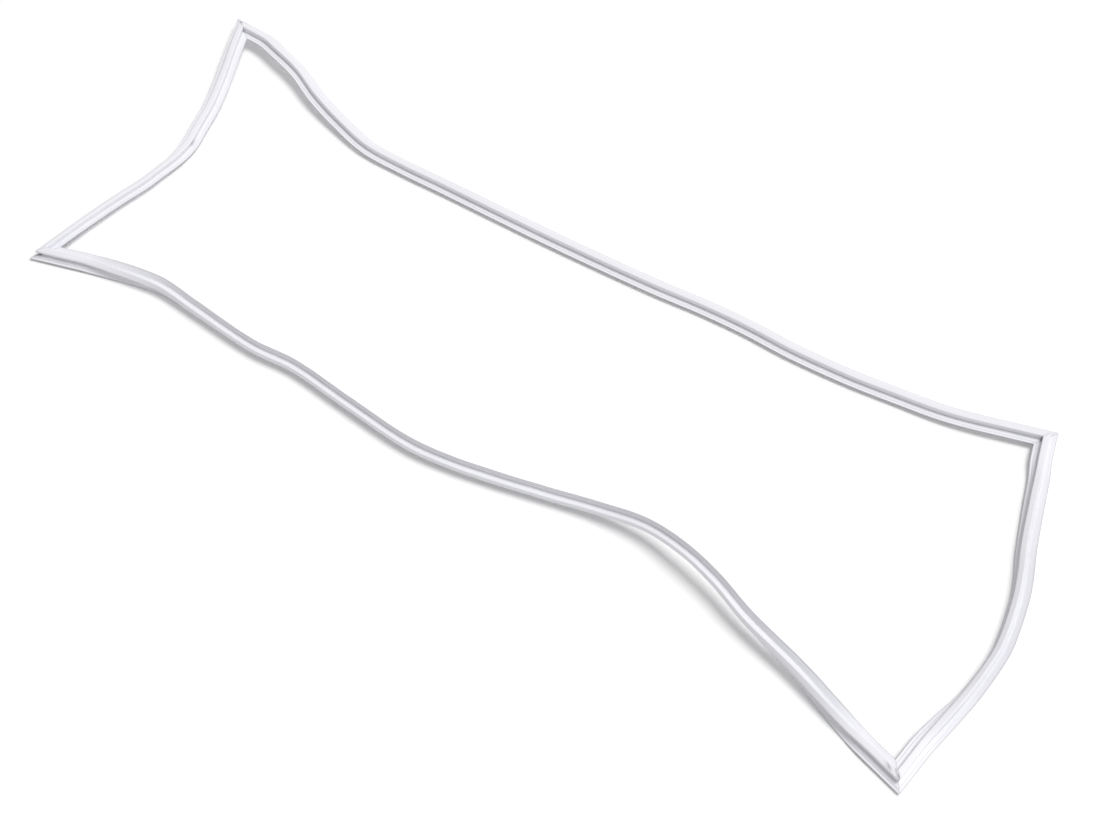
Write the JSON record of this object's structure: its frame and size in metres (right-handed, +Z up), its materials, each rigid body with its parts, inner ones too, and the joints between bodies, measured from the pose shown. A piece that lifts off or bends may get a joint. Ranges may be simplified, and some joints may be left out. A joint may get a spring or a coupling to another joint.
{
  "type": "refrigerator door gasket",
  "caption": "Closed loop of soft hollow door seal with mitred corners, a magnet pocket and a push-in dart, lying loosely as unpacked.",
  "frame": {"origin": "under the middle of the loop as it lies, at the height of the surface it rests on", "axes": "+X along the long sides, +Y across to the rear long side of the picture's view, +Z up, the magnet pocket uppermost"},
  "size_m": [1.6004, 0.5946, 0.049],
  "materials": {
    "soft_pvc": "light grey flexible PVC, satin",
    "magnet_rubber": "matt, ferrite-filled rubber, inside the pocket"
  },
  "bodies": {
    "root": {"gasket_profile": "soft_pvc", "magnet_strip_rear": "magnet_rubber", "magnet_strip_right": "magnet_rubber", "magnet_strip_near": "magnet_rubber", "magnet_strip_left": "magnet_rubber"}
  },
  "joints": []
}
